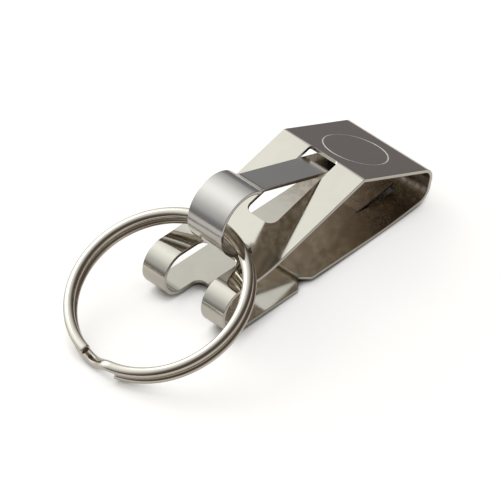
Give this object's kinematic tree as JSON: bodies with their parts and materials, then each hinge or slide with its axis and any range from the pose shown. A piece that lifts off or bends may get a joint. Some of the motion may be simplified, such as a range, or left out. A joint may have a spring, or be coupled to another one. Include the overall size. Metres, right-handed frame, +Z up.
{
  "type": "belt key clip with split ring",
  "caption": "Sprung steel clip that slips over a belt, with a sprung hook that holds a key ring.",
  "frame": {"origin": "on the rest plane, on the clip's middle plane, straight below the back panel's free end", "axes": "+X from the key ring toward the fold that goes over the belt's edge, +Y across the strip, +Z up from the back toward the front panel"},
  "size_m": [0.0705, 0.033, 0.0221],
  "materials": {
    "clip_nickel": "bright nickel plate on spring steel",
    "hook_nickel": "bright nickel plate on spring steel",
    "ring_nickel": "bright nickel plate on steel wire"
  },
  "bodies": {
    "clip": {"clip_body": "clip_nickel"},
    "hook": {"hook_spring": "hook_nickel"},
    "ring": {"split_ring": "ring_nickel"}
  },
  "joints": [
    {"name": "hook_lift", "type": "hinge", "parent": "clip", "child": "hook", "pos_m": [0.02305, 0, 0.00983], "axis": [0, 1, 0], "range_deg": [0, 4.5], "stiffness_Nm_per_rad": 2, "springref_deg": -1.72},
    {"name": "ring_swing", "type": "hinge", "parent": "hook", "child": "ring", "pos_m": [-0.00766, 0, 0.01592], "axis": [0, 1, 0], "range_deg": [0, 150]}
  ]
}
